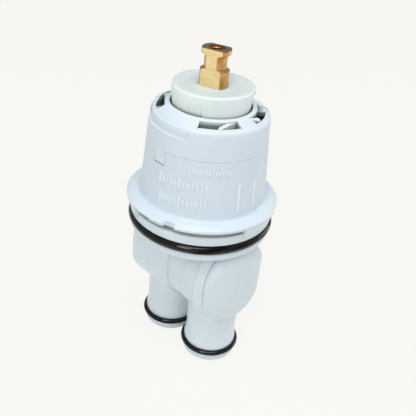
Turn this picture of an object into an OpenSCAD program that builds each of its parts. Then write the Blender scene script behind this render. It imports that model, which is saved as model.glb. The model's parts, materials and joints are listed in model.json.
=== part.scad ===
// Pressure-balancing shower valve cartridge with a ceramic disc head.
// It stands on its two inlet legs: Z runs up the stem, X runs along the legs.
// The origin is on the stem axis, level with the open ends of the legs.

/* [Legs] */
// Distance between the axes of the two inlet legs
leg_pitch = 21.5; // [19.6:0.1:22]
// Length of the legs, from their ends to the underside of the barrel
leg_length = 18.35; // [16:0.05:24]
// Outside radius of a leg under the barrel
leg_r = 8.85; // [8.2:0.05:9.2]
// Outside radius of the collar at the leg's end
leg_collar_r = 9.4; // [9.1:0.05:9.7]
// Height of the lip below the leg's seal groove
leg_lip_h = 2.9; // [2:0.1:4]
// Radius of the leg's bore at its open end
leg_bore_r = 6.6; // [5:0.1:7]
// Depth of the wide bore, up to the step that the screen sits against
leg_bore_h = 12; // [9:0.1:13]
// Radius of the waterway from a leg into the barrel
passage_r = 2.9; // [2:0.1:3]
// Distance of that waterway from the stem axis
passage_x = 7.2; // [7:0.1:7.3]
// Thickness of an inlet screen's rim
screen_h = 1.5; // [1:0.1:2.5]
// Width of an inlet screen's rim
screen_rim = 1.2; // [0.8:0.1:2]
// Distance between the bars of an inlet screen
screen_pitch = 2.1; // [1.5:0.1:3]
// Thickness of the bars of an inlet screen
screen_bar = 0.7; // [0.4:0.05:0.9]

/* [Barrel] */
// Radius of the rounded underside of the barrel's collars
barrel_r = 13.6; // [13:0.1:14]
// Straight height between the barrel's two rounded halves
barrel_straight = 4; // [3:0.1:8]
// How far the top of the barrel reaches into the base
base_sink = 0.5; // [0.4:0.05:1.5]
// How far the middle of the barrel is set back from the collars
barrel_step = 1.1; // [0.4:0.1:1.5]
// Place along X where the far collar ends
collar_far_x = -0.5; // [-3:0.1:0]
// Place along X of the mould line on the middle
mould_line_x = 6.3; // [4:0.1:8]
// Height of that mould line's step
mould_step = 0.2; // [0.1:0.05:0.4]
// Width of the near collar
collar_w = 4.2; // [3.4:0.1:4.6]
// How far the bead along the edge of a collar stands up
bead_h = 0.3; // [0.1:0.05:0.5]
// Width of the slope behind that bead
bead_w = 1.3; // [0.8:0.1:1.6]
// Distance from the stem axis to the face that the end cap sits against
barrel_half = 17; // [15.4:0.1:17.5]
// Radius of the bore for the balancing sleeve
barrel_bore_r = 10.6; // [9.6:0.1:11.2]
// How far each rounded end swells out past that distance
cap_dome_h = 5.5; // [5:0.1:8]
// Radius of the flat in the middle of a rounded end
dome_flat_r = 3.5; // [2:0.1:7]
// Length of the plug that the end cap pushes into the bore
plug_h = 3.4; // [3:0.05:3.6]
// Distance from the barrel's face to the middle of the plug's seal
plug_seal_x = 1.7; // [1.5:0.05:1.9]

/* [Balancing spool] */
// Wall of the balancing sleeve
sleeve_wall = 3.05; // [2:0.05:4]
// How far the spool can slide to each side
spool_travel = 2; // [1:0.1:2.5]
// Length of the land in the middle of the spool
spool_land = 3.6; // [3:0.1:5]
// Length of the lands at the ends of the spool
spool_end_land = 1.9; // [1.2:0.1:3]
// Radius of the spool between its lands
spool_neck_r = 4.2; // [3:0.1:6]
// Radius of the hole along the spool
spool_hole_r = 1.6; // [0.8:0.1:2.5]

/* [Lower housing] */
// How far the base below the body seal is set back from the flange's rim
base_back = 1.8; // [1.6:0.1:2.6]
// Height of the lip below the body seal's groove
base_lip_h = 2.45; // [1.5:0.05:4]
// Width of the body seal's groove
groove_w = 3.1; // [2.9:0.1:3.6]
// Solid height above the groove, up to the floor of the cup
floor_over_groove = 0.9; // [0.6:0.1:2]
// How far the cup above the groove is set back from the flange's rim
cup_back = 1.5; // [1.2:0.1:1.8]
// Wall of the cup
cup_wall = 1.8; // [1.2:0.1:2.2]
// Height of the cup's wall from its floor to the sill of a window
sill_h = 2.55; // [2.3:0.05:3.5]
// Height of the cup's wall from its floor to its top
cup_h = 5.1; // [4.6:0.05:6]
// Angle where a window starts
window_from = -102.5; // [-110:0.5:-98]
// Angle where a window ends
window_to = -11.3; // [-14:0.1:0]
// How far the wall between two windows stands out
riser_d = 1.2; // [0.6:0.1:1.3]
// How far that wall is set back from the flange's rim
riser_back = 0.3; // [0.3:0.05:0.8]
// Height of the part of that wall that slants outward
riser_slant = 4; // [2:0.1:4]
// Height of the part of that wall that stands upright
riser_h = 1.4; // [0.8:0.05:2]
// Radius of the ports from the barrel to the discs
port_r = 2.8; // [2:0.1:3]
// Distance of the ports along X from the stem axis
port_x = 5.9; // [5.2:0.1:6.2]
// Distance of the ports along Y from the stem axis
port_y = 5.5; // [4.5:0.1:6]
// Inside radius of the mixed-water outlet slots
outlet_in_r = 14.9; // [14.9:0.1:15.3]
// Outside radius of the mixed-water outlet slots
outlet_out_r = 17.2; // [16.6:0.1:17.4]
// Angle that each outlet slot spans
outlet_angle = 34; // [20:1:36]
// Angle that each post beside the fixed disc spans
post_angle = 16; // [10:1:24]

/* [Upper sleeve] */
// Radius of the flange
flange_r = 25.2; // [25:0.1:27]
// Thickness of the flange
flange_h = 1.3; // [1.2:0.05:3]
// Radius of the fillet between the flange and the wall
foot_fillet = 1.3; // [0.3:0.1:2]
// Radius of the sleeve's wall at the flange
wall_foot_r = 20.85; // [20.2:0.05:21.4]
// Radius of the sleeve's wall at the joint with the cap
wall_top_r = 19.45; // [19.1:0.05:19.8]
// Height of the sleeve above the flange
wall_h = 19.6; // [18:0.05:24]
// Radius of the chamber around the discs
chamber_r = 17.6; // [17.5:0.1:17.9]
// Thickness of the web that carries the stem
web_h = 3.3; // [2:0.1:5]
// Depth of the web's top below the joint with the cap
web_depth = 4.2; // [3:0.1:6]
// Angle where a locking lug starts
lug_from = -85.5; // [-90:0.5:-80]
// Angle where a locking lug ends
lug_to = -11.6; // [-18:0.1:-11.5]
// Height of the slit under a locking lug
lug_slit = 2.1; // [1.2:0.05:2.3]
// How far a locking lug is set back from the flange's rim
lug_back = 0.15; // [0.15:0.05:1]
// Angle in the middle of the notch in a locking lug
lug_notch = -68.8; // [-75:0.1:-60]
// Width of the notch in a locking lug
lug_notch_w = 3.9; // [2.4:0.1:5]
// Depth of that notch from the flange's rim
lug_notch_d = 1.4; // [1:0.1:2]
// Outside radius of the boss around the stem
boss_r = 8.2; // [7.8:0.1:8.6]
// Height of the boss above the joint with the cap
boss_h = 7.4; // [6:0.1:9]

/* [Cap] */
// Height of the cap from the joint to its outer rim
cap_h = 9.2; // [8:0.1:14]
// Radius of the cap at its rim
cap_rim_r = 18.75; // [18.4:0.05:19.2]
// Rise of the cap's top from the rim to the lip
cap_rise = 1.9; // [1:0.1:3]
// Radius of the cap's bore
cap_bore_r = 12.8; // [12.7:0.05:13]
// Width of the rim outside a window
cap_rim_w = 1.75; // [1.5:0.05:2.6]
// Width of the lip around the bore
cap_lip_w = 1.5; // [1.2:0.1:1.8]
// Radius inside the cap's outer wall
cap_inner_r = 17.4; // [17.3:0.05:17.6]
// Thickness of the cap's top
cap_top_h = 1.8; // [1.2:0.1:2.5]
// Wall of the spigot that fits into the sleeve
cap_spigot_w = 1.2; // [0.8:0.1:1.8]
// Length of the spigot that fits into the sleeve
cap_spigot_h = 3.9; // [2.5:0.1:4.1]
// Angle of the line that the cap's windows and tongues are placed from
cap_line = -92.5; // [-96:0.5:-88]
// Angle from that line to the start of the first window
cap_window_1 = 34; // [33:0.5:38]
// Angle that the first window spans
cap_window_1_w = 45.7; // [38:0.1:48]
// Angle from that line to the start of the second window
cap_window_2 = 100.5; // [98:0.5:103]
// Angle that the second window spans
cap_window_2_w = 42; // [34:1:44]
// Angle that the ledge beside the second window spans
cap_ledge_w = 10; // [6:1:14]
// Depth of that ledge below the rim
cap_ledge_d = 0.4; // [0.2:0.05:0.8]
// Depth of the recessed panel
panel_d = 0.6; // [0.2:0.05:0.7]
// Height of the recessed panel below the rim
panel_h = 3.4; // [2:0.1:6]
// Angle in the middle of the recessed panel
panel_at = -104; // [-106:0.5:-96]
// Width of the recessed panel at its foot
panel_w = 22.6; // [14:0.1:24]
// How far the cap's top slopes down toward the rim over the panel
panel_drop = 0.35; // [0.1:0.05:0.6]
// How far each end of the panel slants outward
panel_slant = 1.25; // [0:0.05:1.6]
// Angle that a snap tongue spans
tongue_w = 13.4; // [8:0.1:18]
// Length of a snap tongue below the joint
tongue_h = 4.3; // [3:0.1:6]
// Radial thickness of a snap tongue
tongue_t = 1.6; // [1.2:0.1:1.8]

/* [Spring ring] */
// Radial thickness of the ring
ring_t = 1.5; // [0.8:0.05:1.6]
// Height of the ring
ring_h = 3.4; // [2:0.1:4]
// Thickness of a spring finger
finger_t = 0.9; // [0.6:0.05:1.2]
// Radius of the hook at the end of a second finger
hook_r = 0.8; // [0.6:0.05:1]
// Depth of a finger's top below the cap's top
finger_drop = 0.25; // [0.1:0.05:0.6]

/* [Limit stop] */
// Outside radius of the limit stop
stop_r = 12.3; // [12.1:0.05:12.5]
// Height of the limit stop above the cap's lip
stop_above = 6.3; // [6:0.1:9]
// Depth of the limit stop below the cap's lip
stop_below = 6.5; // [5:0.1:7]
// How far the limit stop widens toward its top
stop_flare = 0.4; // [0:0.05:0.5]
// Thickness of the limit stop's top at its hub
stop_top_h = 6.6; // [5:0.1:7]
// Depth of the dish in the limit stop's top
stop_dish = 0.5; // [0.2:0.05:1.2]
// Wall of the limit stop's skirt
stop_wall = 2.3; // [1.6:0.1:2.5]
// How far the finger tab stands out
tab_d = 0.9; // [0.6:0.1:2]
// Angle in the middle of the finger tab
tab_at = 66; // [60:1:80]
// Angle that the finger tab spans
tab_span = 58; // [40:1:90]
// How far the limit stop lifts to be set again
stop_lift = 4; // [3:0.5:4.5]
// Angle between two grip grooves
rib_step = 5; // [4:1:10]
// Depth of the grip grooves beside the cap's lip
rib_d = 0.4; // [0.1:0.05:0.45]
// Height of the plain band above the grip grooves
rib_plain_h = 2; // [1:0.1:4]

/* [Stem] */
// Radius of the stem where a handle fits
stem_r = 4.53; // [4:0.05:5]
// Distance across the stem's two flats
stem_flats = 6.2; // [5.5:0.1:7]
// Angle that the first flat faces
flat_at = -71; // [-90:1:-50]
// Height of the stem above the limit stop
stem_above = 10.94; // [10:0.02:16]
// Radius of the neck under the stem's head
stem_neck_r = 3.5; // [3.4:0.05:4]
// Height of the straight part of the stem's head
head_h = 1.5; // [1:0.1:3]
// Height of the stem's neck
neck_h = 3.6; // [2:0.1:5]
// Radius of the threaded hole for the handle screw
screw_r = 2.42; // [1.6:0.02:2.5]
// Depth of the threaded hole
screw_depth = 14; // [8:0.5:18]
// Radius of the stem in its bearing
shaft_r = 6.5; // [5.6:0.1:6.8]
// Radius of the stem's thrust flange
thrust_r = 10.5; // [9:0.1:12]
// Thickness of the stem's thrust flange
thrust_h = 2; // [1:0.1:3]
// Radius of the stem's foot in the disc carrier
foot_r = 9; // [7:0.1:9.6]
// Distance across the two flats of the stem's foot
foot_flats = 12; // [10:0.5:14]
// Height of the stem's foot
foot_h = 3.4; // [2:0.1:4]
// Thickness of the thrust washer
washer_h = 1; // [0.6:0.1:1.6]
// Distance between the two stem seals
stem_seal_gap = 4; // [3.5:0.1:6]

/* [Discs] */
// Thickness of the rubber disc seal
disc_seal_h = 1.5; // [1:0.1:2.5]
// Radius of the fixed disc
fixed_disc_r = 14.4; // [14:0.1:14.6]
// Thickness of the fixed disc
fixed_disc_h = 4; // [3:0.1:5]
// Radius of the moving disc
moving_disc_r = 13.6; // [13:0.1:14]
// Thickness of the moving disc
moving_disc_h = 4; // [3:0.1:5]
// Angle where the cold opening in the fixed disc starts
kidney_from = 5; // [3:1:12]
// Angle that each opening in the fixed disc spans
kidney_w = 75; // [70:1:78]
// Inside radius of those openings
kidney_in_r = 4.5; // [4:0.1:5]
// Outside radius of those openings
kidney_out_r = 11.2; // [11:0.1:11.8]
// Depth of the mixing pocket in the moving disc
pocket_d = 2; // [1:0.1:2.5]
// Angle that the mixing pocket spans
pocket_w = 98; // [80:1:100]
// Radius of the disc carrier
carrier_r = 15.2; // [14.8:0.1:15.6]
// Thickness of the disc carrier's plate
carrier_plate = 2.5; // [1.5:0.1:4]
// Angle that the stop block in the chamber spans
stop_block_w = 48; // [30:1:60]
// Angle that the stem turns from shut to full hot
turn_range = 250; // [180:5:255]

/* [Seals] */
// Thickness of the body seal
body_seal_d = 2.84; // [2.6:0.02:2.9]
// Thickness of a leg seal
leg_seal_d = 1.88; // [1.6:0.02:2]
// Thickness of the small seals inside
small_seal_d = 1.5; // [1.3:0.05:1.6]

/* [Clearances] */
// Room between pieces that are pushed together
fit = 0.1; // [0.05:0.01:0.15]
// Room around the spool and around the stem
running = 0.05; // [0.02:0.01:0.08]
// Room between two pieces that stay apart
gap = 0.3; // [0.2:0.05:0.4]

/* [Hidden] */

fine = 96;
small = 48;
eps = 0.01;
seal_room = 0.03;
turn_ease = 0.4;
rim_slope_w = min(1.4, flange_r - wall_foot_r - foot_fillet - fit);
rim_slope_h = 0.8 * flange_h;
rim_ease = 0.12;
flange_chamfer = 0.1;
riser_sink = 0.2;
groove_d = 1.8;
leg_groove_d = 0.8;
post_d = 1.2;
key_d = 1.4;
key_w = 12;
key_room = 1;
stop_room = 1;
tab_less = 12;
finger_lead = 1.5;
finger_reach = 21.5;
hook_lead = 6;
hook_reach = 16;
ledge_step = 0.1;
panel_ease = 0.05;
notch_round = 1;
lift_room = 1.7;
dome_foot = 0.9;
dome_round = 0.83;
rib_from = -110;
rib_to = -56;
rib_r = 0.45;
stop_round = 0.6;
rib_start = 0.5;

shell_colour = [0.86, 0.89, 0.93];
inner_colour = [0.78, 0.82, 0.86];
nylon_colour = [0.87, 0.92, 0.90];
brass_colour = [0.84, 0.70, 0.42];
rubber_colour = [0.07, 0.07, 0.08];
ceramic_colour = [0.94, 0.93, 0.89];
mesh_colour = [0.70, 0.71, 0.73];

// Levels, from the legs' ends upward
axis_low = leg_length + barrel_r;
axis_high = axis_low + barrel_straight;
axis_z = (axis_low + axis_high) / 2;
base_z = axis_high + barrel_r - base_sink;
groove_z = base_z + base_lip_h;
floor_z = groove_z + groove_w + floor_over_groove;
sill_z = floor_z + sill_h;
flange_z = floor_z + cup_h + fit;
flange_top = flange_z + flange_h;
riser_z = flange_z - fit - riser_h;
joint_z = flange_top + wall_h;
rim_z = joint_z + cap_h;
lip_z = rim_z + cap_rise;
stop_top = lip_z + stop_above;
stop_foot = lip_z - stop_below;
stem_top = stop_top + stem_above;
web_top = joint_z - web_depth;
web_z = web_top - web_h;
boss_top = joint_z + boss_h;
fixed_z = floor_z + disc_seal_h;
moving_z = fixed_z + fixed_disc_h;
carrier_z = moving_z + moving_disc_h;
thrust_z = web_z - fit - washer_h - thrust_h;
carrier_h = thrust_z - carrier_z;
foot_z = thrust_z - foot_h;

// Radii and places that follow from the sizes above
base_r = flange_r - base_back;
cup_r = flange_r - cup_back;
cup_in_r = cup_r - cup_wall;
spigot_r = cup_in_r - fit;
groove_r = base_r - groove_d;
leg_groove_r = leg_collar_r - leg_groove_d;
leg_groove_w = leg_seal_d + 0.1;
middle_r = barrel_r - barrel_step;
collar_near_x = barrel_half - collar_w;
edge_round = 0.6 * (barrel_step + bead_h - mould_step);
foot_round = 0.3 * (barrel_step + bead_h - mould_step);
cap_x = barrel_half + fit / 2;
liner_r = barrel_bore_r - running;
liner_bore_r = barrel_bore_r - sleeve_wall;
liner_half = barrel_half - plug_h - fit;
spool_r = liner_bore_r - running;
spool_l = 2 * (liner_half - spool_travel);
small_groove_d = small_seal_d + 2 * seal_room;
small_seal_in = seal_room + small_seal_d / 2;
small_groove_w = small_seal_d + 0.1;
seal_lip = 0.4;
sleeve_seal_x = (liner_half - seal_lip - small_groove_w / 2) * [-1, 0, 1];
plug_r = barrel_bore_r - fit;
bearing_r = shaft_r + running + 0.02;
riser_r = flange_r - riser_back;
lug_r = flange_r - lug_back;
cap_seat_r = cap_inner_r + 0.05;
spigot_in_r = cap_seat_r - fit - cap_spigot_w;
plate_z = rim_z - cap_top_h;
lip_r = cap_bore_r + cap_lip_w;
ring_top = plate_z - fit;
ring_r = cap_bore_r + 0.15;
window_out_r = cap_rim_r - cap_rim_w;
block_mid = 150;
block_top = stop_foot + stop_lift - lift_room;
carrier_lug_w = 360 - turn_range - stop_block_w - 2 * stop_room;
lug_rest = block_mid + (stop_block_w + carrier_lug_w) / 2 + stop_room;
tab_w = carrier_lug_w - tab_less;
tab_rest = lug_rest - 2;
pocket_rest = 265;

// Plain shapes
module turned(points) rotate_extrude($fn = fine) polygon(points);

module swept(points, from, to)
    rotate([0, 0, from]) rotate_extrude(angle = to - from, $fn = fine) polygon(points);

module sector(inner, outer, low, high, from, to)
    swept([[inner, low], [outer, low], [outer, high], [inner, high]], from, to);

module bar(r, low, high, n = fine) translate([0, 0, low]) cylinder(r = r, h = high - low, $fn = n);

module torus(centre_r, d, z) translate([0, 0, z]) rotate_extrude($fn = fine)
    translate([centre_r, 0]) circle(d = d, $fn = small);

// Turns a shape that is built along Z so that it lies along X on the barrel's axis
module along_x(z = axis_z) translate([0, 0, z]) rotate([0, 90, 0]) children();

// Solid along X with round ends above and below: points are [radius, x]
module oval(points) {
    flat = [for (p = points) [p[1], p[0]]];
    mirrored = [for (i = [len(points) - 1 : -1 : 0]) [points[i][1], -points[i][0]]];
    along_x(axis_low) rotate([0, 0, -90]) rotate_extrude(angle = 180, $fn = fine) polygon(points);
    translate([0, 0, axis_low]) linear_extrude(height = barrel_straight)
        polygon(concat(flat, mirrored));
    along_x(axis_high) rotate([0, 0, 90]) rotate_extrude(angle = 180, $fn = fine) polygon(points);
}

function arc(cx, cy, r, from, to, n = 8) =
    [for (i = [0 : n]) let (a = from + (to - from) * i / n) [cx + r * cos(a), cy + r * sin(a)]];

// Swell of a barrel end from its widest place outward, as [radius, x], grown by more
function swell(more) = [for (a = [0 : 10 : 90])
    [dome_flat_r + more + (barrel_r - dome_flat_r) * pow(cos(a), dome_round),
     cap_x + dome_foot + (cap_dome_h - dome_foot) * pow(sin(a), dome_round) + more]];

// Dome of the end cap, as [radius, x], grown by more on every side
function dome(more) = concat([[0, cap_x - more]],
    arc(barrel_r - edge_round, cap_x + edge_round, edge_round + more, 270, 360, 3),
    swell(more), [[0, cap_x + cap_dome_h + more]]);

// Barrel from its closed far end to the face that the end cap sits against, as [radius, x]
function barrel_line() = concat([[0, -cap_x - cap_dome_h]],
    [for (i = [len(swell(0)) - 1 : -1 : 0]) [swell(0)[i][0], -swell(0)[i][1]]],
    [[barrel_r, collar_far_x - edge_round - bead_w]],
    arc(barrel_r + bead_h - edge_round, collar_far_x - edge_round, edge_round, 0, 90, 4),
    arc(middle_r + foot_round, collar_far_x + foot_round, foot_round, 270, 180, 3),
    [[middle_r, mould_line_x], [middle_r + mould_step, mould_line_x + mould_step]],
    arc(middle_r + mould_step + foot_round, collar_near_x - foot_round, foot_round, 180, 90, 3),
    arc(barrel_r + bead_h - edge_round, collar_near_x + edge_round, edge_round, 270, 360, 4),
    [[barrel_r, collar_near_x + edge_round + bead_w]],
    arc(barrel_r - edge_round, barrel_half - edge_round, edge_round, 0, 90, 4),
    [[0, barrel_half]]);

// Lower housing
module leg() turned([[0, 0], [leg_collar_r - 0.4, 0], [leg_collar_r, 0.5],
    [leg_collar_r, leg_lip_h], [leg_groove_r, leg_lip_h], [leg_groove_r, leg_lip_h + leg_groove_w],
    [leg_collar_r - 0.1, leg_lip_h + leg_groove_w], [leg_collar_r - 0.1, leg_lip_h + leg_groove_w + 1.6],
    [leg_r, leg_lip_h + leg_groove_w + 4.5], [leg_r, axis_low], [0, axis_low]]);

module barrel() within_bore() oval(barrel_line());

// Keeps what lies inside the valve body's bore
module within_bore() intersection() {
    children();
    bar(base_r - fit, leg_length - 1, base_z + 1);
}

module base_cup() turned([[0, base_z], [base_r - 0.3, base_z], [base_r, base_z + 0.3],
    [base_r, groove_z], [groove_r, groove_z], [groove_r, groove_z + groove_w],
    [cup_r - 0.5, groove_z + groove_w], [cup_r, groove_z + groove_w + 0.5], [cup_r, flange_z - fit],
    [cup_in_r, flange_z - fit], [cup_in_r, floor_z], [0, floor_z]]);

// Wall between two windows, which slants out toward the flange
module riser(side) swept([[cup_r - 1, riser_z - riser_slant],
    [riser_r - riser_d - riser_sink, riser_z - riser_slant], [riser_r, riser_z],
    [riser_r, flange_z - fit], [cup_r - 1, flange_z - fit]],
    window_to + side + turn_ease, window_from + side + 180 - turn_ease);

module lower_housing() color(shell_colour) {
    difference() {
        union() {
            difference() {
                base_cup();
                for (side = [0, 180])
                    sector(cup_in_r - 1, cup_r + 1, sill_z, flange_z + 1,
                           window_from + side, window_to + side);
            }
            for (side = [0, 180]) riser(side);
            barrel();
            for (side = [-1, 1]) translate([side * leg_pitch / 2, 0, 0]) leg();
            for (side = [0, 180])
                sector(fixed_disc_r - post_d, chamber_r - gap, floor_z - eps, moving_z - gap,
                       side - post_angle / 2, side + post_angle / 2);
        }
        along_x() bar(barrel_bore_r, plug_h - barrel_half, barrel_half + 1);
        oval(dome(fit));
        for (side = [-1, 1]) {
            translate([side * leg_pitch / 2, 0, 0]) bar(leg_bore_r, -1, leg_bore_h);
            translate([side * passage_x, 0, 0]) bar(passage_r, leg_bore_h - 1, axis_z, small);
            translate([side * port_x, port_y, 0]) bar(port_r, axis_z, floor_z + 1, small);
        }
        for (side = [0, 180])
            sector(outlet_in_r, outlet_out_r, base_z - 1, floor_z + 1,
                   side + 90 - outlet_angle / 2, side + 90 + outlet_angle / 2);
    }
}

// End cap of the barrel
module end_cap() color(shell_colour) {
    within_bore() oval(dome(0));
    difference() {
        along_x() bar(plug_r, barrel_half - plug_h, cap_x + eps);
        along_x() difference() {
            bar(plug_r + 1, barrel_half - plug_seal_x - small_groove_w / 2,
                barrel_half - plug_seal_x + small_groove_w / 2);
            bar(barrel_bore_r - small_groove_d, barrel_half - plug_h - 1, cap_x + 1);
        }
    }
}

module cap_seal() color(rubber_colour) along_x()
    torus(barrel_bore_r - small_seal_in, small_seal_d, barrel_half - plug_seal_x);

// Sleeve that the spool slides in
module balance_sleeve() color(inner_colour) difference() {
    along_x() bar(liner_r, -liner_half, liner_half);
    along_x() bar(liner_bore_r, -liner_half - 1, liner_half + 1);
    for (side = [-1, 1]) {
        translate([side * passage_x, 0, 0]) bar(passage_r - 0.5, leg_length, axis_z, small);
        translate([side * port_x, port_y, 0]) bar(port_r - 0.2, axis_z, base_z + base_lip_h, small);
    }
    for (x = sleeve_seal_x) along_x() translate([0, 0, x]) difference() {
        bar(liner_r + 1, -small_groove_w / 2, small_groove_w / 2);
        bar(barrel_bore_r - small_groove_d, -1 - small_groove_w, 1 + small_groove_w);
    }
}

module sleeve_seals() color(rubber_colour) along_x() for (x = sleeve_seal_x)
    torus(barrel_bore_r - small_seal_in, small_seal_d, x);

module balance_spool() color(mesh_colour) along_x() difference() {
    union() {
        bar(spool_neck_r, -spool_l / 2, spool_l / 2);
        bar(spool_r, -spool_land / 2, spool_land / 2);
        for (side = [-1, 1]) translate([0, 0, side * (spool_l - spool_end_land) / 2])
            bar(spool_r, -spool_end_land / 2, spool_end_land / 2);
    }
    for (side = [-1, 1]) translate([0, 0, side * spool_l / 2])
        bar(spool_hole_r, -spool_l / 2 + spool_land / 2, spool_l / 2 - spool_land / 2, small);
}

// Screens in the legs
module screen(side) color(mesh_colour) translate([side * leg_pitch / 2, 0, leg_bore_h - screen_h]) {
    difference() {
        bar(leg_bore_r - running, 0, screen_h);
        bar(leg_bore_r - screen_rim, -1, screen_h + 1);
    }
    reach = floor((leg_bore_r - screen_rim) / screen_pitch);
    intersection() {
        bar(leg_bore_r - screen_rim + 0.2, 0, screen_h);
        for (turn = [0, 90], k = [-reach : reach]) rotate([0, 0, turn])
            translate([-leg_bore_r, k * screen_pitch - screen_bar / 2, screen_h / 2])
                cube([2 * leg_bore_r, screen_bar, screen_bar]);
    }
}

module leg_seal(side) color(rubber_colour) translate([side * leg_pitch / 2, 0, 0])
    torus(leg_groove_r + leg_seal_d / 2 + 0.02, leg_seal_d, leg_lip_h + leg_groove_w / 2);

module body_seal() color(rubber_colour)
    torus(groove_r + body_seal_d / 2 + 0.02, body_seal_d, groove_z + groove_w / 2);

// Seal between the sleeve's spigot and the cup
housing_seal_z = floor_z + 1.4;
module housing_seal() color(rubber_colour)
    torus(cup_in_r - small_seal_in, small_seal_d, housing_seal_z);

// Openings for cold and hot water in the fixed disc and its seal
module kidneys(low, high, ease) for (start = [kidney_from, 180 - kidney_from - kidney_w])
    sector(kidney_in_r - ease, kidney_out_r + ease, low, high, start - 2 * ease, start + kidney_w + 2 * ease);

module disc_seal() color(rubber_colour) difference() {
    bar(fixed_disc_r - post_d - gap, floor_z, fixed_z);
    kidneys(floor_z - 1, fixed_z + 1, 0.3);
}

module fixed_disc() color(ceramic_colour) difference() {
    bar(fixed_disc_r, fixed_z, moving_z);
    kidneys(fixed_z - 1, moving_z + 1, 0);
    for (side = [0, 180])
        sector(fixed_disc_r - post_d - fit, fixed_disc_r + 1, fixed_z - 1, moving_z + 1,
               side - post_angle / 2 - 0.5, side + post_angle / 2 + 0.5);
}

module moving_disc() color(ceramic_colour) difference() {
    bar(moving_disc_r, moving_z, carrier_z);
    sector(kidney_in_r, moving_disc_r + 1, moving_z - 1, moving_z + pocket_d,
           pocket_rest - pocket_w / 2, pocket_rest + pocket_w / 2);
    for (at = key_angles) sector(key_r, moving_disc_r + 1, moving_z - 1, carrier_z + 1,
                                 at - key_w / 2 - key_room, at + key_w / 2 + key_room);
}

key_r = moving_disc_r - key_d;
key_angles = [20, 100, 180];

// Carrier that turns the moving disc
module disc_carrier() color(inner_colour) difference() {
    union() {
        bar(carrier_r, carrier_z, thrust_z);
        for (at = key_angles)
            sector(key_r + fit, moving_disc_r, carrier_z - moving_disc_h + 1, carrier_z + eps,
                   at - key_w / 2, at + key_w / 2);
        sector(carrier_r - 1, chamber_r - gap, carrier_z + 1, thrust_z - gap,
               lug_rest - carrier_lug_w / 2, lug_rest + carrier_lug_w / 2);
    }
    rotate([0, 0, flat_at]) intersection() {
        bar(foot_r + fit, foot_z - fit, thrust_z + 1);
        translate([-foot_flats / 2 - fit, -foot_r - 1, foot_z - fit])
            cube([foot_flats + 2 * fit, 2 * foot_r + 2, foot_h + 2]);
    }
}

module thrust_washer() color(nylon_colour) difference() {
    bar(thrust_r, thrust_z + thrust_h, web_z - fit);
    bar(shaft_r + 0.2, thrust_z, web_z + 1);
}

// Brass stem
stem_seal_z = [web_z + 3, web_z + 3 + stem_seal_gap];
module stem() color(brass_colour) difference() {
    union() {
        rotate([0, 0, flat_at]) intersection() {
            bar(foot_r, foot_z, thrust_z + eps);
            translate([-foot_flats / 2, -foot_r - 1, foot_z])
                cube([foot_flats, 2 * foot_r + 2, foot_h + eps]);
        }
        turned([[0, thrust_z], [thrust_r, thrust_z], [thrust_r, thrust_z + thrust_h],
                [shaft_r, thrust_z + thrust_h], [shaft_r, boss_top - 0.4], [shaft_r - 0.4, boss_top],
                [0, boss_top]]);
        handle_end();
    }
    for (z = stem_seal_z) difference() {
        bar(shaft_r + 1, z - small_groove_w / 2, z + small_groove_w / 2);
        bar(bearing_r - small_groove_d, z - small_groove_w, z + small_groove_w);
    }
    bar(screw_r, stem_top - screw_depth, stem_top + 1, small);
}

// End of the stem that a handle fits, with its two flats
module handle_end() rotate([0, 0, flat_at]) intersection() {
    turned([[0, boss_top - 1], [stem_r, boss_top - 1], [stem_r, shoulder_z], [stem_neck_r, shoulder_z + 0.7],
            [stem_neck_r, shoulder_z + 0.7 + neck_h], [stem_r, shoulder_z + 1.4 + neck_h],
            [stem_r, stem_top - 0.15], [stem_r - 0.15, stem_top], [0, stem_top]]);
    translate([-stem_flats / 2, -stem_r - 1, boss_top - 2])
        cube([stem_flats, 2 * stem_r + 2, stem_top - boss_top + 3]);
}

shoulder_z = stem_top - head_h - neck_h - 1.4;

module stem_seals() color(rubber_colour) for (z = stem_seal_z)
    torus(bearing_r - small_seal_in, small_seal_d, z);

// Upper sleeve with the flange
module upper_sleeve() color(shell_colour) {
    difference() {
        turned(concat(
            [[chamber_r, floor_z + fit], [spigot_r - 0.4, floor_z + fit], [spigot_r, floor_z + fit + 0.4],
             [spigot_r, housing_seal_z - small_groove_w / 2],
             [cup_in_r - small_groove_d, housing_seal_z - small_groove_w / 2],
             [cup_in_r - small_groove_d, housing_seal_z + small_groove_w / 2],
             [spigot_r, housing_seal_z + small_groove_w / 2], [spigot_r, flange_z],
             [flange_r - flange_chamfer, flange_z], [flange_r, flange_z + flange_chamfer],
             [flange_r, flange_top - rim_slope_h], [flange_r - rim_slope_w + rim_ease, flange_top - rim_ease],
             [flange_r - rim_slope_w - rim_ease, flange_top]],
            arc(wall_foot_r + foot_fillet, flange_top + foot_fillet, foot_fillet, 270, 184, 5),
            [[wall_top_r, joint_z], [cap_seat_r, joint_z], [cap_seat_r, web_top], [boss_r, web_top],
             [boss_r, boss_top - 0.3], [boss_r - 0.3, boss_top], [bearing_r + 0.3, boss_top],
             [bearing_r, boss_top - 0.3], [bearing_r, web_z], [chamber_r, web_z]]));
        for (side = [0, 180]) {
            tongue_place(side, fit);
            notch(side);
        }
    }
    for (side = [0, 180]) difference() {
        sector(spigot_r - 1, lug_r, sill_z + lug_slit, flange_z + 0.5, lug_from + side, lug_to + side);
        notch(side);
    }
    sector(carrier_r + fit, chamber_r + 1, carrier_z + 1, web_z + eps,
           block_mid - stop_block_w / 2, block_mid + stop_block_w / 2);
    sector(boss_r - 1, stop_r - stop_wall - gap, web_top - eps, block_top,
           block_mid - stop_block_w / 2, block_mid + stop_block_w / 2);
}

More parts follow.
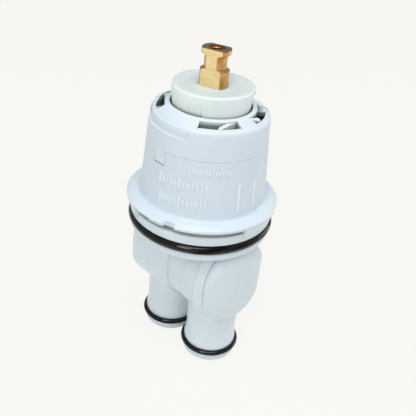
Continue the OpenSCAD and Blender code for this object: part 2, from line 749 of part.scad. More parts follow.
// Notch with rounded corners in the outside of a locking lug and of the flange
module notch(side) rotate([0, 0, lug_notch + side]) translate([flange_r - lug_notch_d, 0, sill_z]) {
    corner_y = lug_notch_w / 2 - notch_round;
    linear_extrude(height = flange_top - sill_z + 1) polygon(concat(
        [[lug_notch_d + 1, lug_notch_w / 2]], arc(notch_round, corner_y, notch_round, 90, 180, 4),
        arc(notch_round, -corner_y, notch_round, 180, 270, 4), [[lug_notch_d + 1, -lug_notch_w / 2]]));
}

// Place of a snap tongue, grown by more
module tongue_place(side, more)
    sector(wall_top_r - tongue_t - more, wall_foot_r + 1, joint_z - tongue_h - 3 * more, joint_z + 1,
           cap_line + side - tongue_w / 2 - 3 * more, cap_line + side + tongue_w / 2 + 3 * more);

// Outside of the cap from the joint to the rim, pulled in by less and lowered by drop at the rim
function cap_skin(less, drop = 0) = [[wall_top_r - less, joint_z + fit / 2],
    [cap_rim_r + 0.1 - less, rim_z - drop - 1.2], [cap_rim_r - 0.05 - less, rim_z - drop - 0.55],
    [cap_rim_r - 0.3 - less, rim_z - drop - 0.15], [cap_rim_r - 0.65 - less, rim_z - drop]];

// Cap
module cap_shell() turned(concat([[spigot_in_r, joint_z - cap_spigot_h],
    [cap_seat_r - fit, joint_z - cap_spigot_h], [cap_seat_r - fit, joint_z + fit / 2]],
    cap_skin(0),
    [[lip_r - 0.4, lip_z - 0.2], [cap_bore_r + 0.7, lip_z], [cap_bore_r + 0.2, lip_z],
     [cap_bore_r, lip_z - 0.2], [cap_bore_r, plate_z], [cap_inner_r, plate_z],
     [cap_inner_r, joint_z + 2.4], [spigot_in_r, joint_z + 1.2]]));

module top_cap() color(shell_colour) {
    difference() {
        cap_shell();
        for (m = [0, 1]) cap_half(m) {
            sector(lip_r, window_out_r, plate_z - 1, lip_z, cap_window_1, cap_window_1 + cap_window_1_w);
            sector(lip_r, window_out_r, plate_z - 1, lip_z, cap_window_2, cap_window_2 + cap_window_2_w);
            sector(lip_r + ledge_step, cap_rim_r - 0.45, rim_z - cap_ledge_d, lip_z,
                   cap_window_2 + cap_window_2_w - 1, cap_window_2 + cap_window_2_w + cap_ledge_w);
        }
        difference() {
            rotate([0, 0, panel_at]) translate([1, 0, rim_z - panel_h]) rotate([90, 0, 90])
                linear_extrude(height = flange_r) polygon([[-panel_w / 2, 0], [panel_w / 2, 0],
                    [panel_w / 2 + panel_slant, panel_h], [panel_w / 2 + panel_slant, panel_h + cap_rise + 1],
                    [-panel_w / 2 - panel_slant, panel_h + cap_rise + 1],
                    [-panel_w / 2 - panel_slant, panel_h]]);
            turned(concat([[0, joint_z]], cap_skin(panel_d, panel_drop),
                [[lip_r, cap_top_at(lip_r) + panel_ease], [lip_r, lip_z + 2], [0, lip_z + 2]]));
        }
    }
    for (side = [0, 180]) intersection() {
        sector(wall_top_r - tongue_t, wall_foot_r + 1, joint_z - tongue_h, joint_z + 1,
               cap_line + side - tongue_w / 2, cap_line + side + tongue_w / 2);
        tongue_skin();
    }
}

// Outside of the sleeve's wall, carried on over the snap tongues
module tongue_skin() turned([[wall_top_r - tongue_t - 1, joint_z - tongue_h - 1],
    [wall_top_r + (wall_foot_r - wall_top_r) * (tongue_h + 1) / wall_h, joint_z - tongue_h - 1],
    [wall_top_r, joint_z], [wall_top_r - 0.02, joint_z + 0.8], [wall_top_r - tongue_t - 1, joint_z + 0.8]]);

// Turns to the line that the cap's windows are placed from, or half a turn on from it
module cap_half(m) rotate([0, 0, cap_line + 180 * m]) children();

// Ring with four spring fingers that stand up into the cap's windows
module spring_ring() color(nylon_colour) {
    sector(ring_r, ring_r + ring_t, ring_top - ring_h, ring_top, 0, 360);
    for (m = [0, 1]) cap_half(m) {
        finger(cap_window_1 + cap_window_1_w - finger_lead,
               cap_window_1 + cap_window_1_w - finger_lead - finger_reach, finger_t / 2,
               cap_window_1, cap_window_1_w);
        finger(cap_window_2 - hook_lead, cap_window_2 - hook_lead + hook_reach, hook_r,
               cap_window_2, cap_window_2_w);
    }
}

// Finger from an angle on the ring to one near the cap's wall, raised within its window
module finger(from, to, tip_r, start, span) intersection() {
    a = (ring_r + ring_t - finger_t / 2) * [cos(from), sin(from)];
    b = (window_out_r - gap - tip_r) * [cos(to), sin(to)];
    d = b - a;
    translate([a[0], a[1], ring_top - ring_h]) rotate([0, 0, atan2(d[1], d[0])]) {
        translate([0, -finger_t / 2, 0]) cube([norm(d), finger_t, lip_z]);
        translate([norm(d), 0, 0]) cylinder(r = tip_r, h = lip_z, $fn = small);
        cylinder(r = finger_t / 2, h = lip_z, $fn = small);
    }
    union() {
        bar(window_out_r, ring_top - ring_h, ring_top);
        swept([[lip_r + 0.1, ring_top - 1], [window_out_r, ring_top - 1],
               [window_out_r, cap_top_at(window_out_r) - finger_drop],
               [lip_r + 0.1, cap_top_at(lip_r + 0.1) - finger_drop]], start + 1, start + span - 1);
    }
}

// Height of the cap's sloping top at a distance from the stem axis
function cap_top_at(r) = rim_z + (cap_rise - 0.2) * (cap_rim_r - 0.65 - r) / (cap_rim_r - 0.25 - lip_r);

rib_tilt = atan((rib_d + 0.7 * stop_flare) / (stop_above - rib_plain_h + rib_start));

// Limit stop that the stem turns
module limit_stop() color(nylon_colour) {
    difference() {
        union() {
            turned(concat([[0, stop_foot], [stop_r, stop_foot], [stop_r, lip_z]],
                arc(stop_r + stop_flare - stop_round, stop_top - stop_round, stop_round, 0, 75, 5),
                [[stop_r - 1.6, stop_top], [stem_r + 3, stop_top - stop_dish], [0, stop_top - stop_dish]]));
            swept([[stop_r - 1, stop_top - 2.6], [stop_r, stop_top - 2.6], [stop_r + tab_d, stop_top - 1.5],
                   [stop_r + tab_d, stop_top - 0.5], [stop_r + tab_d - 0.3, stop_top - 0.15],
                   [stop_r - 1, stop_top - 0.15]], tab_at - tab_span / 2, tab_at + tab_span / 2);
        }
        bar(stop_r - stop_wall, stop_foot - 1, stop_top - stop_top_h);
        rotate([0, 0, flat_at]) intersection() {
            bar(stem_r + running, stop_foot, stop_top + 1);
            translate([-stem_flats / 2 - running, -stem_r - 1, stop_foot])
                cube([stem_flats + 2 * running, 2 * stem_r + 2, stop_above + stop_below + 1]);
        }
        for (a = [rib_from : rib_step : rib_to]) rotate([0, 0, a])
            translate([stop_r + rib_r - rib_d, 0, lip_z - rib_start]) rotate([0, rib_tilt, 0])
                cylinder(r = rib_r, h = stop_above + rib_start + 1, $fn = 24);
    }
    sector(boss_r + gap, stop_r - stop_wall + 1, stop_foot, block_top - gap,
           tab_rest - tab_w / 2, tab_rest + tab_w / 2);
}

lower_housing();
end_cap();
cap_seal();
balance_sleeve();
sleeve_seals();
balance_spool();
screen(1);  // cold_screen
screen(-1);  // hot_screen
leg_seal(1);  // cold_leg_seal
leg_seal(-1);  // hot_leg_seal
body_seal();
housing_seal();
disc_seal();
fixed_disc();
moving_disc();
disc_carrier();
thrust_washer();
stem();
stem_seals();
upper_sleeve();
top_cap();
spring_ring();
limit_stop();
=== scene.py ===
"""Shower valve cartridge: finishes, small moulded detail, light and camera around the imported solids."""
import json
import math

import bpy
import bmesh
from mathutils import Matrix, Vector


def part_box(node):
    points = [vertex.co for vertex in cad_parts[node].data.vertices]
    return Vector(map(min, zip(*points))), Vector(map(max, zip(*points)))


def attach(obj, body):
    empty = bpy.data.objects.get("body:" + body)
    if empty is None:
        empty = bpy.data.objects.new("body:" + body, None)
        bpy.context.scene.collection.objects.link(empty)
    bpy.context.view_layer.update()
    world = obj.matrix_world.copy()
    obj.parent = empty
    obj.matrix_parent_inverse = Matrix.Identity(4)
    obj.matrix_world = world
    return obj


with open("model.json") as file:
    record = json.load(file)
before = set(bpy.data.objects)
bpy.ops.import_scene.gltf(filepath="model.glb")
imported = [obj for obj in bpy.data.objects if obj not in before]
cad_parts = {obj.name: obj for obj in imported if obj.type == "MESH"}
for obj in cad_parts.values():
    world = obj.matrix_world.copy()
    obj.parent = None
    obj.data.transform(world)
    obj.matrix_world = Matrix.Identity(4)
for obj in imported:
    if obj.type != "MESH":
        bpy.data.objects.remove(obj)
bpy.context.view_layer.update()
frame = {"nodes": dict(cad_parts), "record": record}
nodes = frame["nodes"]

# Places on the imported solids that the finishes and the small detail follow
MM = 0.001
CAP_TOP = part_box("top_cap")[1].z
STOP_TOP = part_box("limit_stop")[1].z
STEM_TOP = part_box("stem")[1].z
RIM_R, RIM_Z = 18.1 * MM, CAP_TOP - 1.9 * MM  # low end of a line along the cap's sloping top
LIP_R, LIP_Z = 13.9 * MM, CAP_TOP - 0.2 * MM  # high end of that line
INSIDE_R = 17.2 * MM  # just outside the cap's windows
FLAT_AT = math.radians(-71)  # the way that one of the stem's flats faces
FLAT_HALF = 3.1 * MM  # from the stem's axis to a flat
WALL_FOOT_R, WALL_FOOT_Z, WALL_LEAN = 20.853 * MM, 63.21 * MM, 0.0763  # line up the sleeve's wall


# Shader maths

class Value:
    """A socket that Python's operators join to others through Math nodes."""

    def __init__(self, owner, socket):
        self.owner, self.socket = owner, socket

    def _math(self, operation, a, b=None):
        values = {0: a} if b is None else {0: a, 1: b}
        return self.owner.node("ShaderNodeMath", {"operation": operation}, values)

    def __add__(self, other):
        return self._math("ADD", self, other)

    def __radd__(self, other):
        return self._math("ADD", other, self)

    def __sub__(self, other):
        return self._math("SUBTRACT", self, other)

    def __rsub__(self, other):
        return self._math("SUBTRACT", other, self)

    def __mul__(self, other):
        return self._math("MULTIPLY", self, other)

    def __rmul__(self, other):
        return self._math("MULTIPLY", other, self)

    def __truediv__(self, other):
        return self._math("DIVIDE", self, other)

    def __rtruediv__(self, other):
        return self._math("DIVIDE", other, self)

    def __pow__(self, other):
        return self._math("POWER", self, other)

    def __rpow__(self, other):
        return self._math("POWER", other, self)

    def __abs__(self):
        return self._math("ABSOLUTE", self)

    def at_least(self, other):
        return self._math("MAXIMUM", self, other)

    def step(self, low, high):
        """0 below low, 1 above high, smooth between."""
        return self.owner.node("ShaderNodeMapRange", {"interpolation_type": "SMOOTHSTEP"},
                               {"Value": self, "From Min": low, "From Max": high})


class Graph:
    """A node tree that starts empty and gets its nodes one at a time."""

    def __init__(self, tree):
        self.tree = tree
        tree.nodes.clear()

    def node(self, kind, settings=None, values=None, out=0):
        """Adds a node with its settings and inputs, and gives back one of its outputs if it has any."""
        made = self.tree.nodes.new(kind)
        for key, value in (settings or {}).items():
            setattr(made, key, value)
        for key, value in (values or {}).items():
            socket = made.inputs[key]
            if isinstance(value, Value):
                self.tree.links.new(value.socket, socket)
            elif socket.type == "RGBA":
                socket.default_value = (*value, 1.0)
            else:
                socket.default_value = value
        return Value(self, made.outputs[out]) if made.outputs else None


class Paint(Graph):
    """A material that is built up node by node."""

    def __init__(self, name):
        self.material = bpy.data.materials.new(name)
        self.material.use_nodes = True
        super().__init__(self.material.node_tree)

    def place(self):
        return self.node("ShaderNodeTexCoord", out="Object")

    def split(self, vector):
        along_x = self.node("ShaderNodeSeparateXYZ", None, {"Vector": vector})
        return [Value(self, socket) for socket in along_x.socket.node.outputs]

    def turned(self, vector, angle=0.0, scale=(1.0, 1.0, 1.0)):
        return self.node("ShaderNodeMapping", None,
                         {"Vector": vector, "Rotation": (0.0, 0.0, angle), "Scale": scale})

    def noise(self, vector, scale, detail=2.0, rough=0.5):
        return self.node("ShaderNodeTexNoise", None,
                         {"Vector": vector, "Scale": scale, "Detail": detail, "Roughness": rough})

    def blend(self, share, a, b):
        """Colour a at share 0, b at share 1."""
        # 6, 7 and 2 are the Mix node's colour sockets, whose names its other sockets have too
        return self.node("ShaderNodeMix", {"data_type": "RGBA"}, {0: share, 6: a, 7: b}, out=2)

    def soft_edge(self, width):
        """Normals rounded over at sharp edges, as a mould or a tumbling drum leaves them."""
        return self.node("ShaderNodeBevel", {"samples": 6}, {"Radius": width})

    def edge(self, width):
        """1 on a sharp edge, 0 a little way in from it."""
        bent = self.soft_edge(width)
        plain = self.node("ShaderNodeNewGeometry", out="Normal")
        turn = self.node("ShaderNodeVectorMath", {"operation": "DOT_PRODUCT"},
                         {0: bent, 1: plain}, out="Value")
        return (1.0 - turn).step(0.01, 0.2)

    def open_sky(self, reach):
        """1 where the surface lies open, toward 0 deep in a slot or a corner."""
        return self.node("ShaderNodeAmbientOcclusion", {"samples": 8}, {"Distance": reach}, out="AO")

    def bump(self, height, depth, strength, under=None):
        values = {"Height": height, "Distance": depth, "Strength": strength}
        if under is not None:
            values["Normal"] = under
        return self.node("ShaderNodeBump", None, values)

    def shown(self, shader):
        """The finished material, with this shader on its surface."""
        self.node("ShaderNodeOutputMaterial", None, {"Surface": shader})
        return self.material

    def surface(self, links, plain):
        """The finished material: links vary over the piece, plain inputs don't."""
        return self.shown(self.node("ShaderNodeBsdfPrincipled", None, {**plain, **links}))


# Finishes

# Painted shade: the dark colour laid deep in slots, corners and the cap's windows
SLOT_SHADE = (0.15, 0.175, 0.115)  # deep in a slot
# Painted highlight: the paler colour laid on open moulded edges
EDGE_HIGHLIGHT = (0.93, 0.97, 0.99)  # on a moulded edge


def shade_under_cap(paint, here):
    """Where painted shade goes: 1 on what is seen through the cap's windows, 0 on the outside of the cap and
    the sleeve.
    """
    x, y, z = paint.split(here)
    radius = (x * x + y * y) ** 0.5
    top = RIM_Z + (RIM_R - radius) * ((LIP_Z - RIM_Z) / (RIM_R - LIP_R))
    within = 1.0 - radius.step(INSIDE_R - 0.2 * MM, INSIDE_R)
    return (top - z).step(0.3 * MM, 1.6 * MM) * within


def moulded(name, colour, deep, rough, round_over=0.4 * MM, slots=1.0, windowed=False):
    """Semi-gloss moulded plastic: flow mottling, eggshell grain, painted shade in slots and a painted
    highlight on mould edges.
    """
    paint = Paint(name)
    here = paint.place()
    flow = paint.noise(here, 55.0, 3.0, 0.6)
    cloud = paint.noise(here, 16.0)
    skin = paint.blend((flow * 0.45 + cloud * 0.55).step(0.32, 0.68), deep, colour)
    # Painted light from the open_sky mask: crest is a painted highlight on open edges, slot is painted shade
    # in slots and corners, scaled by slots and raised inside the cap's windows when windowed
    sky = paint.open_sky(4.5 * MM)
    crest = paint.edge(0.6 * MM) * sky.step(0.5, 0.8)
    slot = (1.0 - sky.step(0.12, 0.5)) * slots
    if windowed:
        slot = slot.at_least(shade_under_cap(paint, here) * 0.85)
    # tint: the mottled skin with painted shade in slots and a painted highlight on edges
    tint = paint.blend(crest * 0.85, paint.blend(slot, skin, SLOT_SHADE), EDGE_HIGHLIGHT)
    gloss = flow * 0.08 + (rough - 0.04)
    eggshell = paint.bump(paint.noise(here, 2600.0, 2.0, 0.55), 0.04 * MM, 0.5, paint.soft_edge(round_over))
    relief = paint.bump(paint.noise(here, 240.0), 0.03 * MM, 0.6, eggshell)
    return paint.surface({"Base Color": tint, "Roughness": gloss, "Normal": relief},
                         {"Specular IOR Level": 0.45, "IOR": 1.49, "Subsurface Weight": 0.12,
                          "Subsurface Radius": (0.0012, 0.0015, 0.0018), "Subsurface Scale": 1.0})


def natural_nylon(name, colour, deep, top):
    """Milky nylon: soft depth, drawn streaks up the side, a dull skin, painted shade in recesses and a
    greyer top face that is painted shade.
    """
    paint = Paint(name)
    here = paint.place()
    cloud = paint.noise(here, 90.0, 3.0, 0.6)
    drawn = paint.noise(paint.turned(here, 0.0, (900.0, 900.0, 60.0)), 1.0)
    side = paint.blend((cloud * 0.7 + drawn * 0.3).step(0.3, 0.7), deep, colour)
    height = paint.split(here)[2]
    facing_up = paint.split(paint.node("ShaderNodeTexCoord", out="Normal"))[2]
    # Painted shade: the up-facing face near the stop's top takes the darker top colour
    painted_top_shade = facing_up.step(0.6, 0.95) * height.step(STOP_TOP - 2.4 * MM, STOP_TOP - 1.8 * MM)
    whole = paint.blend(painted_top_shade, side, top)
    # Painted shade deep in slots and corners
    tint = paint.blend(paint.open_sky(3.5 * MM).step(0.05, 0.55), SLOT_SHADE, whole)
    gloss = cloud * 0.12 + 0.44
    skin = paint.bump(paint.noise(here, 1800.0, 2.0, 0.6), 0.03 * MM, 0.6, paint.soft_edge(0.3 * MM))
    relief = paint.bump(drawn, 0.02 * MM, 0.6, skin)
    return paint.surface({"Base Color": tint, "Roughness": gloss, "Normal": relief},
                         {"Specular IOR Level": 0.4, "IOR": 1.53, "Subsurface Weight": 0.35,
                          "Subsurface Radius": (0.002, 0.0024, 0.0024), "Subsurface Scale": 1.0})


def machined_brass(name):
    """Brass bar: lathe rings on the round faces, mill lines across the flats, warm tarnish in patches;
    painted light gives bright flats with highlight streaks, and painted shade darkens the round sides, the
    end face and the edges.
    """
    paint = Paint(name)
    here = paint.place()
    across, _, height = paint.split(paint.turned(here, -FLAT_AT))
    rings = paint.noise(paint.turned(here, 0.0, (60.0, 60.0, 5200.0)), 1.0, 2.0, 0.6)
    lines = paint.noise(paint.turned(here, -FLAT_AT, (200.0, 260.0, 3400.0)), 1.0, 3.0, 0.65)
    reached = abs(across).step(FLAT_HALF - 0.15 * MM, FLAT_HALF - 0.02 * MM)
    passed = abs(across).step(FLAT_HALF + 0.05 * MM, FLAT_HALF + 0.15 * MM)
    on_flat = reached * (1.0 - passed)
    marks = lines * on_flat + rings * (1.0 - on_flat)
    tarnish = paint.noise(here, 420.0, 3.0, 0.6)
    # Painted light: the flats take bright colours as a painted reflection, the round sides dark ones as
    # painted shade
    flat = paint.blend(tarnish.step(0.35, 0.7), (1.0, 0.79, 0.42), (0.96, 0.70, 0.32))
    shaded_round_side = paint.blend(tarnish.step(0.35, 0.65), (0.72, 0.43, 0.16), (0.48, 0.24, 0.07))
    lit_flats_shaded_sides = paint.blend(on_flat, shaded_round_side, flat)
    # Painted shade: the stem's end face is painted dark bronze
    shaded_end_face = paint.blend(tarnish.step(0.3, 0.6), (0.36, 0.24, 0.16), (0.26, 0.16, 0.10))
    with_shaded_end = paint.blend(height.step(STEM_TOP - 0.12 * MM, STEM_TOP - 0.04 * MM), lit_flats_shaded_sides, shaded_end_face)
    dull = paint.blend((1.0 - marks.step(0.25, 0.5)) * 0.45, with_shaded_end, (0.42, 0.21, 0.07))
    # Painted highlight streaks along the mill lines on the flats
    lit = paint.blend(marks.step(0.45, 0.75) * 0.4 * on_flat, dull, (1.0, 0.86, 0.56))
    # Painted shade: dark brown along the stem's sharp edges
    tint = paint.blend(paint.edge(0.5 * MM) * 0.9, lit, (0.15, 0.055, 0.02))
    gloss = marks * 0.22 + tarnish * 0.08 + 0.2
    relief = paint.bump(marks, 0.03 * MM, 0.55, paint.soft_edge(0.12 * MM))
    return paint.surface({"Base Color": tint, "Roughness": gloss, "Normal": relief},
                         {"Metallic": 1.0, "IOR": 1.5})


def greased_rubber(name, rough):
    """Black rubber ring with a film of grease: a dull skin and wet streaks where the film gathers."""
    paint = Paint(name)
    here = paint.place()
    smear = paint.noise(paint.turned(here, 0.4, (300.0, 300.0, 900.0)), 1.0, 3.0, 0.6)
    tint = paint.blend(smear.step(0.35, 0.7), (0.003, 0.003, 0.004), (0.008, 0.008, 0.010))
    gloss = smear * 0.16 + (rough - 0.08)
    pools = paint.noise(paint.turned(here, 0.4, (60.0, 60.0, 700.0)), 1.0)
    relief = paint.bump(smear, 0.04 * MM, 0.6, paint.bump(paint.noise(here, 2400.0), 0.01 * MM, 0.4))
    return paint.surface({"Base Color": tint, "Roughness": gloss, "Normal": relief,
                          "Coat Weight": pools.step(0.38, 0.5) * 0.9},
                         {"Specular IOR Level": 0.04, "IOR": 1.35, "Coat Roughness": 0.05, "Coat IOR": 1.45})


def lapped_ceramic(name):
    """Off-white ceramic disc with fine lapping haze."""
    paint = Paint(name)
    haze = paint.noise(paint.place(), 700.0, 4.0, 0.6)
    tint = paint.blend(haze.step(0.3, 0.7), (0.80, 0.78, 0.72), (0.90, 0.89, 0.84))
    return paint.surface({"Base Color": tint, "Roughness": haze * 0.15 + 0.12,
                          "Normal": paint.bump(haze, 0.01 * MM, 0.5)}, {"Specular IOR Level": 0.6})


def drawn_steel(name):
    """Ground stainless steel with fine drawn lines."""
    paint = Paint(name)
    lines = paint.noise(paint.turned(paint.place(), 0.0, (4200.0, 200.0, 200.0)), 1.0, 2.0, 0.6)
    tint = paint.blend(lines.step(0.3, 0.7), (0.48, 0.48, 0.50), (0.66, 0.66, 0.67))
    return paint.surface({"Base Color": tint, "Roughness": lines * 0.2 + 0.22,
                          "Normal": paint.bump(lines, 0.01 * MM, 0.5)}, {"Metallic": 1.0})


housing_blue = moulded("pale blue housing", (0.72, 0.81, 0.85), (0.69, 0.78, 0.83), 0.36, 0.9 * MM, 0.35)
sleeve_blue = moulded("pale blue sleeve", (0.67, 0.76, 0.82), (0.64, 0.73, 0.80), 0.38, windowed=True)
cap_blue = moulded("pale blue cap", (0.68, 0.77, 0.83), (0.65, 0.74, 0.81), 0.36, windowed=True)
plug_blue = moulded("pale blue end cap", (0.68, 0.77, 0.81), (0.65, 0.74, 0.79), 0.34, 1.4 * MM, 0.25)
# Paler raised marks: a painted highlight on the ticks
highlight_mark_blue = moulded("paler raised marks", (0.79, 0.88, 0.93), (0.75, 0.84, 0.90), 0.36)
inner_grey = moulded("grey inner plastic", (0.52, 0.58, 0.63), (0.47, 0.53, 0.58), 0.45)
# The limit stop's last colour, for its top face, is painted shade
limit_nylon = natural_nylon("milky limit stop", (0.85, 0.92, 0.89), (0.79, 0.87, 0.84), (0.62, 0.71, 0.71))
ring_nylon = natural_nylon("milky spring ring", (0.80, 0.87, 0.87), (0.75, 0.82, 0.82), (0.80, 0.87, 0.87))
brass = machined_brass("machined brass")
seal_black = greased_rubber("greased black seal", 0.2)
hidden_seal = greased_rubber("black inner seal", 0.45)
ceramic = lapped_ceramic("lapped ceramic")
steel = drawn_steel("drawn steel")

FINISH = {
    "lower_housing": housing_blue, "end_cap": plug_blue,
    "upper_sleeve": sleeve_blue, "top_cap": cap_blue, "spring_ring": ring_nylon,
    "limit_stop": limit_nylon, "stem": brass, "thrust_washer": ring_nylon,
    "balance_sleeve": inner_grey, "disc_carrier": inner_grey,
    "balance_spool": steel, "cold_screen": steel, "hot_screen": steel,
    "fixed_disc": ceramic, "moving_disc": ceramic,
    "cold_leg_seal": seal_black, "hot_leg_seal": seal_black, "body_seal": seal_black,
    "cap_seal": hidden_seal, "sleeve_seals": hidden_seal,
    "housing_seal": hidden_seal, "disc_seal": hidden_seal, "stem_seals": hidden_seal,
}
for name, material in FINISH.items():
    coats = nodes[name].data.materials
    coats.clear()
    coats.append(material)


# Pieces that repeat, made by Geometry Nodes

class Grow(Graph):
    """A Geometry Nodes tree with named number inputs; its result becomes a plain mesh."""

    def __init__(self, name, numbers, material):
        super().__init__(bpy.data.node_groups.new(name, "GeometryNodeTree"))
        self.numbers, self.material = numbers, material
        self.tree.interface.new_socket("Geometry", in_out="INPUT", socket_type="NodeSocketGeometry")
        for key, value in numbers.items():
            kind = "NodeSocketInt" if isinstance(value, int) else "NodeSocketFloat"
            self.tree.interface.new_socket(key, in_out="INPUT", socket_type=kind)
        self.tree.interface.new_socket("Geometry", in_out="OUTPUT", socket_type="NodeSocketGeometry")

    def size(self, key):
        return self.node("NodeGroupInput", out=key)

    def math(self, operation, a):
        return self.node("ShaderNodeMath", {"operation": operation}, {0: a})

    def vector(self, x, y, z):
        return self.node("ShaderNodeCombineXYZ", None, {0: x, 1: y, 2: z})

    def sweep(self, path, sides, radius):
        """A closed tube of a given number of sides along a path."""
        ring = self.node("GeometryNodeCurvePrimitiveCircle", None, {"Resolution": sides, "Radius": radius})
        return self.node("GeometryNodeCurveToMesh", None,
                         {"Curve": path, "Profile Curve": ring, "Fill Caps": True})

    def mesh(self, geometry, piece):
        """Closes the tree on a geometry, gives it its numbers and takes the result as a plain mesh."""
        real = self.node("GeometryNodeRealizeInstances", None, {0: geometry})
        smooth = self.node("GeometryNodeSetShadeSmooth", None, {0: real})
        painted = self.node("GeometryNodeSetMaterial", None, {0: smooth, "Material": self.material})
        self.node("NodeGroupOutput", None, {0: painted})
        seed = bpy.data.objects.new(piece + "_seed", bpy.data.meshes.new(piece + "_seed"))
        bpy.context.scene.collection.objects.link(seed)
        held = seed.modifiers.new(piece, "NODES")
        held.node_group = self.tree
        for item in self.tree.interface.items_tree:
            if item.in_out == "INPUT" and item.name in self.numbers:
                held[item.identifier] = self.numbers[item.name]
        bpy.context.view_layer.update()
        graph = bpy.context.evaluated_depsgraph_get()
        mesh = bpy.data.meshes.new_from_object(
            seed.evaluated_get(graph), preserve_all_data_layers=True, depsgraph=graph)
        bpy.data.objects.remove(seed)
        return mesh


def joined(name, meshes, body):
    """One welded piece that rides on a body, with the materials of its first mesh."""
    kept = bmesh.new()
    for mesh in meshes:
        kept.from_mesh(mesh)
    bmesh.ops.remove_doubles(kept, verts=kept.verts, dist=1e-7)
    bmesh.ops.recalc_face_normals(kept, faces=kept.faces)
    whole = bpy.data.meshes.new(name)
    kept.to_mesh(whole)
    kept.free()
    for material in meshes[0].materials:
        whole.materials.append(material)
    whole.shade_smooth()
    piece = bpy.data.objects.new(name, whole)
    bpy.context.scene.collection.objects.link(piece)
    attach(piece, body)


def both_sides(meshes):
    """The same marks again, half a turn round."""
    turned = []
    for mesh in meshes:
        again = mesh.copy()
        again.transform(Matrix.Rotation(math.pi, 4, "Z"))
        turned.append(again)
    return meshes + turned


TICK_SIDES, TICK_RINGS = 12, 15
TICK_BLUNTNESS = 14.0  # the higher, the squarer a tick's ends
SHORT_BY = 0.38  # share of the height that a short tick lacks


def tick_row(count, start, stop, low, high, width, proud, every=5):
    """A row of raised ticks on the leaning wall of the sleeve; one in every few is full height."""
    grow = Grow("raised ticks", {
        "Count": count, "From": math.radians(start), "To": math.radians(stop),
        "Low": low * MM, "High": high * MM, "Width": width * MM, "Proud": proud * MM}, highlight_mark_blue)
    count, start, stop, low, high, width, proud = map(grow.size, grow.numbers)
    line = grow.node("GeometryNodeMeshLine", {"mode": "END_POINTS"},
                     {"Count": count, "Start Location": grow.vector(start, 0.0, 0.0),
                      "Offset": grow.vector(stop, 0.0, 0.0)})
    index = grow.node("GeometryNodeInputIndex")
    angle = start + index * (stop - start) / (count - 1).at_least(1.0)
    middle = (low + high) * 0.5
    reach = (WALL_FOOT_R - (middle - WALL_FOOT_Z) * WALL_LEAN) + proud - width * 0.5
    spot = grow.vector(reach * grow.math("COSINE", angle), reach * grow.math("SINE", angle), middle)
    placed = grow.node("GeometryNodeSetPosition", None, {"Geometry": line, "Position": spot})
    bar = grow.node("GeometryNodeCurvePrimitiveLine", None,
                    {"Start": (0.0, 0.0, -0.5), "End": (0.0, 0.0, 0.5)})
    fine = grow.node("GeometryNodeResampleCurve", None, {"Curve": bar, "Count": TICK_RINGS})
    share = grow.node("GeometryNodeSplineParameter")
    taper = grow.math("SQRT", (1.0 - (abs(share * 2.0 - 1.0)) ** TICK_BLUNTNESS).at_least(0.0))
    rounded = grow.node("GeometryNodeSetCurveRadius", None, {"Curve": fine, "Radius": taper.at_least(0.05)})
    rod = grow.sweep(rounded, TICK_SIDES, 0.5)
    is_short = (index - grow.math("FLOOR", index / float(every)) * float(every)).step(0.4, 0.6)
    height = (high - low) * (1.0 - is_short * SHORT_BY)
    many = grow.node("GeometryNodeInstanceOnPoints", None, {
        "Points": placed, "Instance": rod,
        "Rotation": grow.vector(0.0, -math.atan(WALL_LEAN), angle),
        "Scale": grow.vector(width, width, height)})
    return grow.mesh(many, "tick_row")


# Number of ticks, first and last angle, foot and head in mm, width, height off the wall
joined("sleeve_marks", both_sides([
    tick_row(13, -60.0, -24.0, 77.1, 79.4, 0.7, 0.25),
    tick_row(12, -88.0, -43.5, 71.6, 74.8, 0.8, 0.3),
    tick_row(12, -86.0, -43.5, 65.7, 69.2, 0.8, 0.3),
    tick_row(2, -13.6, 4.2, 64.9, 74.2, 0.85, 0.32, every=1),
    tick_row(1, 13.6, 13.6, 78.0, 78.8, 0.6, 0.14, every=1),
]), "housing")

THREAD_BELOW = 0.5 * MM  # from the stem's end down to the first turn
THREAD_STEPS, THREAD_SIDES = 40, 6


def screw_thread(turns, hole, height, pitch):
    """Thread inside the stem's hole, from just under its mouth downward."""
    grow = Grow("screw thread", {
        "Turns": turns, "Hole": hole * MM, "Crest": (hole - height) * MM, "Pitch": pitch * MM}, brass)
    turns, hole, crest, pitch = map(grow.size, grow.numbers)
    middle = (hole + crest) * 0.5
    coil = grow.node("GeometryNodeCurveSpiral", None, {
        "Resolution": THREAD_STEPS, "Rotations": turns, "Start Radius": middle, "End Radius": middle,
        "Height": turns * pitch})
    tube = grow.sweep(coil, THREAD_SIDES, (hole - crest) * 0.5)
    low = STEM_TOP - THREAD_BELOW
    placed = grow.node("GeometryNodeSetPosition", None, {
        "Geometry": tube, "Offset": grow.vector(0.0, 0.0, low - turns * pitch)})
    return grow.mesh(placed, "screw_thread")


screw_hole = next(mount for mount in frame["record"]["mounts"] if mount["name"] == "handle_screw")
joined("screw_thread", [screw_thread(12.0, screw_hole["dims"]["r_mm"], 0.4, 0.8)], "stem")


# Floor, light and camera

PAPER = (0.945, 0.938, 0.915)
SKY, SKY_STRENGTH = (0.96, 0.97, 0.98), 0.46
FLOOR_HALF, FLOOR_Z = 12.0, -0.5 * MM
PAPER_SHARE = 0.94  # how much of the floor's look is plain paper; the rest takes light and shadow


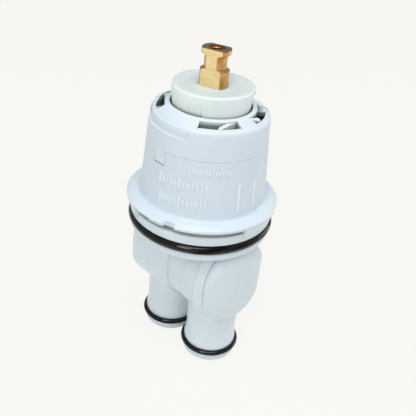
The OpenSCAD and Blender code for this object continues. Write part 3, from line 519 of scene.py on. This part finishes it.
def room():
    """The floor: nearly plain paper to the camera and in reflections, a lit surface to all other light."""
    sheet = bpy.data.meshes.new("floor")
    corners = [(-1, -1), (1, -1), (1, 1), (-1, 1)]
    sheet.from_pydata([(x * FLOOR_HALF, y * FLOOR_HALF, FLOOR_Z) for x, y in corners], [], [(0, 1, 2, 3)])
    floor = bpy.data.objects.new("floor", sheet)
    bpy.context.scene.collection.objects.link(floor)
    paint = Paint("pale floor")
    fine = paint.noise(paint.place(), 30.0)
    tint = paint.blend(fine.step(0.3, 0.7), (0.90, 0.90, 0.885), (0.92, 0.92, 0.905))
    lit = paint.node("ShaderNodeBsdfPrincipled", None, {
        "Base Color": tint, "Roughness": 0.9, "Specular IOR Level": 0.1})
    white = paint.node("ShaderNodeEmission", None, {"Color": PAPER, "Strength": 1.0})
    camera_ray = paint.node("ShaderNodeLightPath", out="Is Camera Ray")
    mirror_ray = paint.node("ShaderNodeLightPath", out="Is Glossy Ray")
    seen = camera_ray.at_least(mirror_ray) * PAPER_SHARE
    both = paint.node("ShaderNodeMixShader", None, {0: seen, 1: lit, 2: white})
    sheet.materials.append(paint.shown(both))


def studio_sky():
    """Soft light from all round, seen by the camera as plain paper."""
    world = bpy.data.worlds.new("studio")
    bpy.context.scene.world = world
    world.use_nodes = True
    graph = Graph(world.node_tree)
    sky = graph.node("ShaderNodeBackground", None, {"Color": SKY, "Strength": SKY_STRENGTH})
    plain = graph.node("ShaderNodeBackground", None, {"Color": PAPER, "Strength": 1.0})
    camera_ray = graph.node("ShaderNodeLightPath", out="Is Camera Ray")
    both = graph.node("ShaderNodeMixShader", None, {0: camera_ray, 1: sky, 2: plain})
    graph.node("ShaderNodeOutputWorld", None, {"Surface": both})


def lamp(name, place, aim, size, power):
    """A round white area light at a place, turned toward another."""
    light = bpy.data.lights.new(name, "AREA")
    light.shape = "DISK"
    light.size = size
    light.energy = power
    held = bpy.data.objects.new(name, light)
    bpy.context.scene.collection.objects.link(held)
    held.location = place
    held.rotation_euler = (aim - place).to_track_quat("-Z", "Y").to_euler()


# The photograph's camera: the way it looks from, and its place measured from a point on the stem's axis
AZIMUTH, ELEVATION, ROLL = math.radians(42.045), math.radians(31.413), math.radians(6.25)
AIMED_AT = Vector((0.0, 0.0, 55.0 * MM))
AWAY, ASIDE, BELOW = 209.257 * MM, 2.424 * MM, 0.648 * MM
SENSOR, LENS = 36.0, 53.18


def camera():
    """Places the camera, and gives the directions back to it, to its right and up."""
    back = Vector((math.sin(AZIMUTH) * math.cos(ELEVATION), -math.cos(AZIMUTH) * math.cos(ELEVATION),
                   math.sin(ELEVATION)))
    level = Vector((math.cos(AZIMUTH), math.sin(AZIMUTH), 0.0))
    rise = back.cross(level)
    right = level * math.cos(ROLL) + rise * math.sin(ROLL)
    up = rise * math.cos(ROLL) - level * math.sin(ROLL)
    eye = bpy.data.cameras.new("photo view")
    eye.sensor_width = SENSOR
    eye.lens = LENS
    eye.clip_start = 0.01
    held = bpy.data.objects.new("photo view", eye)
    bpy.context.scene.collection.objects.link(held)
    turn = Matrix((right, up, back)).transposed().to_4x4()
    turn.translation = AIMED_AT + back * AWAY + right * ASIDE - up * BELOW
    held.matrix_world = turn
    bpy.context.scene.camera = held
    return back, right, up


room()
back, right, up = camera()
centre = Vector((0.0, 0.0, 60.0 * MM))
lamp("overhead", centre + Vector((0.12, -0.11, 0.62)), centre, size=0.4, power=2.3)
lamp("front", centre + back * 0.62 - right * 0.16 + up * 0.1, centre, size=0.22, power=0.95)
lamp("right back", centre - back * 0.2 + right * 0.6 + up * 0.15, centre, size=0.4, power=0.8)
studio_sky()
bpy.context.scene.view_settings.view_transform = "Standard"
